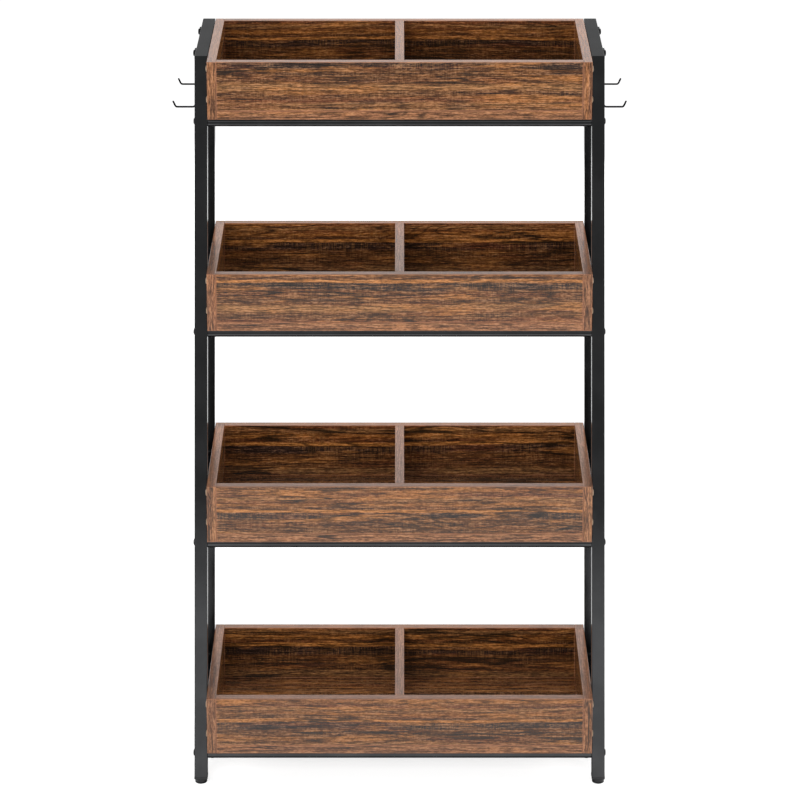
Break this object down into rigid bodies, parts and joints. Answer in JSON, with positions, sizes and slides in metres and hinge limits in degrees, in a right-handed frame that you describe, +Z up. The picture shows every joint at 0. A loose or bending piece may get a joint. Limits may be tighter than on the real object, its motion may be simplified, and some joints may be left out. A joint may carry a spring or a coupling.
{
  "type": "retail display rack",
  "caption": "Tiered display rack with black square-tube side frames, open wooden trays with a divider and a leaning front, wire side hooks and screw-in levelling feet.",
  "frame": {"origin": "on the floor, under the centre of the bounding box", "axes": "+Z up, the leaning tray fronts face -Y, +X to the right seen from the front"},
  "size_m": [0.8958, 0.348, 1.42],
  "materials": {
    "black_steel": "semi-gloss black powder coat",
    "bolt_steel": "semi-gloss black",
    "rustic_wood": "glossy brown weathered-wood laminate",
    "black_plastic": "matte",
    "cap_plastic": "matte tan",
    "screw_steel": "bright zinc"
  },
  "bodies": {
    "rack": {"left_front_post": "black_steel", "left_rear_post": "black_steel", "left_top_rail": "black_steel", "left_rung_2": "black_steel", "left_rung_3": "black_steel", "left_rung_4": "black_steel", "right_front_post": "black_steel", "right_rear_post": "black_steel", "right_top_rail": "black_steel", "right_rung_2": "black_steel", "right_rung_3": "black_steel", "right_rung_4": "black_steel", "left_front_hook": "black_steel", "left_rear_hook": "black_steel", "right_front_hook": "black_steel", "right_rear_hook": "black_steel", "left_front_hook_bolt": "bolt_steel", "left_rear_hook_bolt": "bolt_steel", "right_front_hook_bolt": "bolt_steel", "right_rear_hook_bolt": "bolt_steel", "left_front_plug": "black_plastic", "left_rear_plug": "black_plastic", "right_front_plug": "black_plastic", "right_rear_plug": "black_plastic", "front_crossbar_1": "black_steel", "rear_crossbar_1": "black_steel", "front_crossbar_2": "black_steel", "rear_crossbar_2": "black_steel", "front_crossbar_3": "black_steel", "rear_crossbar_3": "black_steel", "front_crossbar_4": "black_steel", "rear_crossbar_4": "black_steel", "tray_1_left_side": "rustic_wood", "tray_1_right_side": "rustic_wood", "tray_1_front_panel": "rustic_wood", "tray_1_back_panel": "rustic_wood", "tray_1_divider": "rustic_wood", "tray_1_floor": "rustic_wood", "tray_2_left_side": "rustic_wood", "tray_2_right_side": "rustic_wood", "tray_2_front_panel": "rustic_wood", "tray_2_back_panel": "rustic_wood", "tray_2_divider": "rustic_wood", "tray_2_floor": "rustic_wood", "tray_3_left_side": "rustic_wood", "tray_3_right_side": "rustic_wood", "tray_3_front_panel": "rustic_wood", "tray_3_back_panel": "rustic_wood", "tray_3_divider": "rustic_wood", "tray_3_floor": "rustic_wood", "tray_4_left_side": "rustic_wood", "tray_4_right_side": "rustic_wood", "tray_4_front_panel": "rustic_wood", "tray_4_back_panel": "rustic_wood", "tray_4_divider": "rustic_wood", "tray_4_floor": "rustic_wood"},
    "left_front_foot": {"left_front_foot": "black_plastic"},
    "left_rear_foot": {"left_rear_foot": "black_plastic"},
    "right_front_foot": {"right_front_foot": "black_plastic"},
    "right_rear_foot": {"right_rear_foot": "black_plastic"}
  },
  "joints": [
    {"name": "left_front_foot_height", "type": "slide", "parent": "rack", "child": "left_front_foot", "axis": [0, 0, -1], "range_m": [0, 0.01]},
    {"name": "left_rear_foot_height", "type": "slide", "parent": "rack", "child": "left_rear_foot", "axis": [0, 0, -1], "range_m": [0, 0.01]},
    {"name": "right_front_foot_height", "type": "slide", "parent": "rack", "child": "right_front_foot", "axis": [0, 0, -1], "range_m": [0, 0.01]},
    {"name": "right_rear_foot_height", "type": "slide", "parent": "rack", "child": "right_rear_foot", "axis": [0, 0, -1], "range_m": [0, 0.01]}
  ]
}
